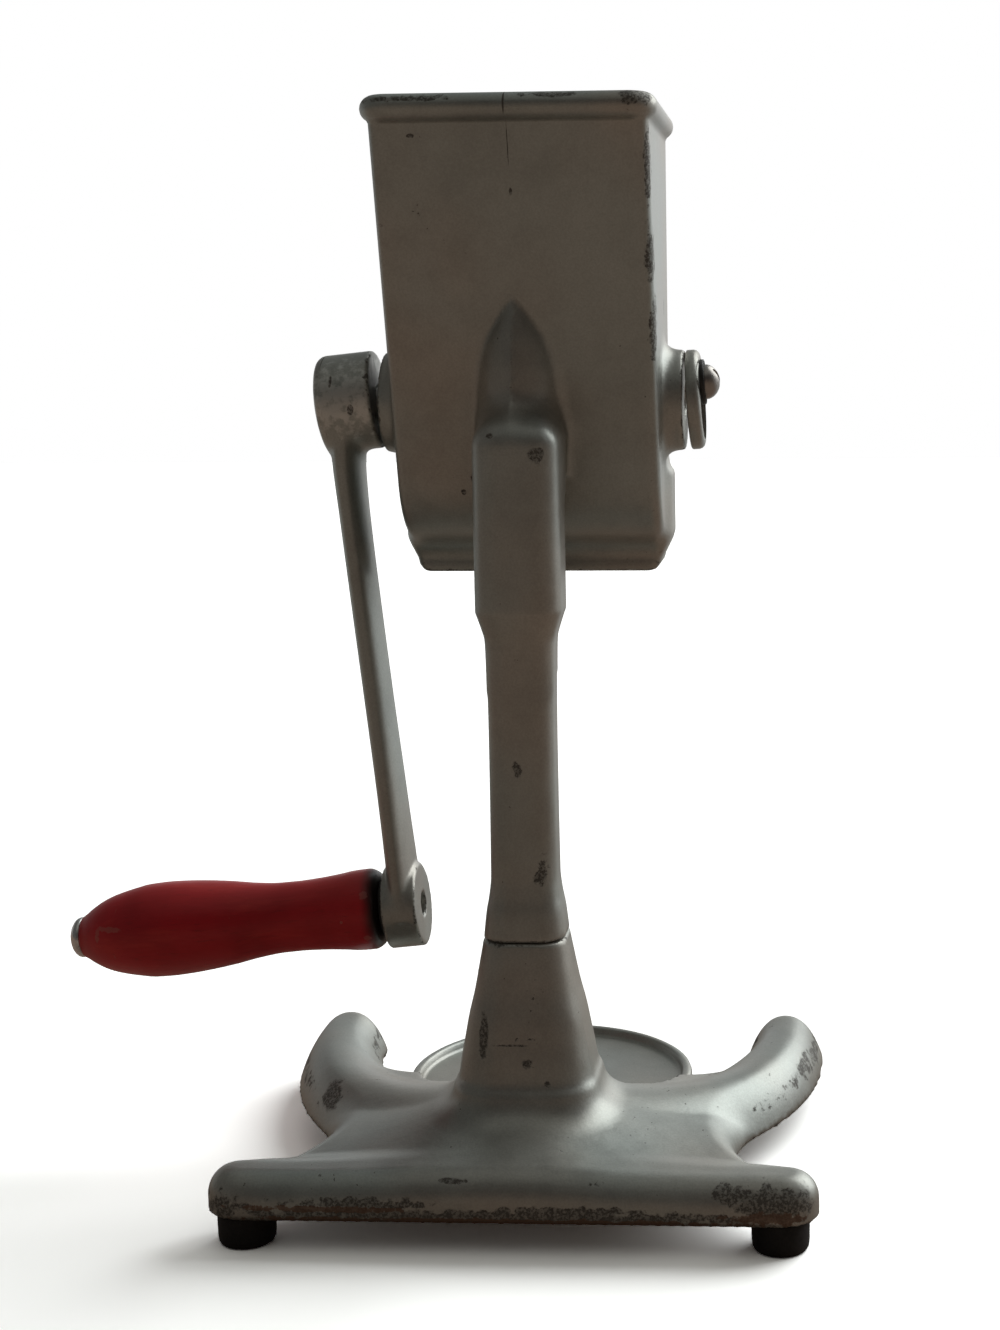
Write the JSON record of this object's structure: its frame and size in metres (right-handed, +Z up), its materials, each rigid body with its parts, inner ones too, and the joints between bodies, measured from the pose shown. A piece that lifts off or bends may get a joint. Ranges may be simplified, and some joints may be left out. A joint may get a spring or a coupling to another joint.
{
  "type": "hand crank ice crusher",
  "caption": "Upright cast metal ice crusher with a tapered hopper on a post, a side crank with a red grip, and a footed base with a round plate for a glass.",
  "frame": {"origin": "centre of the glass plate's upper face", "axes": "+Z up, +Y towards the front where the glass stands, +X towards the bearing cap; the crank is on the -X side"},
  "size_m": [0.2622, 0.163, 0.356],
  "materials": {
    "silver_casting": "silver-grey paint on sand-cast aluminium, worn at the edges",
    "cast_iron": "tinned casting, dulled",
    "steel": "plain steel",
    "black_steel": "blackened",
    "black_fibre": "pressed fibre",
    "bright_chrome": "plated",
    "red_wood": "glossy red lacquer on turned wood",
    "black_rubber": "moulded"
  },
  "bodies": {
    "stand": {"base_casting": "silver_casting", "body_casting": "silver_casting", "post_bolt": "steel", "post_bolt_washer": "steel", "breaker_comb": "cast_iron", "comb_screw_left": "steel", "comb_screw_right": "steel", "bearing_cap": "silver_casting", "lock_washer": "black_steel", "cap_screw": "steel", "thrust_washer": "black_fibre", "foot_rear_left": "black_rubber", "foot_rear_right": "black_rubber", "foot_front_left": "black_rubber", "foot_front_right": "black_rubber", "foot_screw_rear_left": "steel", "foot_screw_rear_right": "steel", "foot_screw_front_left": "steel", "foot_screw_front_right": "steel"},
    "crank": {"rotor_shaft": "steel", "rotor_drum": "cast_iron", "rotor_cross_pin": "steel", "pick_row_1": "steel", "pick_row_2": "steel", "pick_row_3": "steel", "pick_row_4": "steel", "pick_row_5": "steel", "pick_row_6": "steel", "crank_arm": "silver_casting", "crank_set_screw": "steel", "handle_bolt": "bright_chrome", "handle_washer": "steel"},
    "grip": {"handle_grip": "red_wood"}
  },
  "joints": [
    {"name": "crank_turn", "type": "hinge", "parent": "stand", "child": "crank", "pos_m": [0, -0.014, 0.2415], "axis": [1, 0, 0], "continuous": true},
    {"name": "grip_spin", "type": "hinge", "parent": "crank", "child": "grip", "pos_m": [-0.04456, -0.014, 0.06696], "axis": [0.9945, 0, 0.1045], "continuous": true}
  ]
}
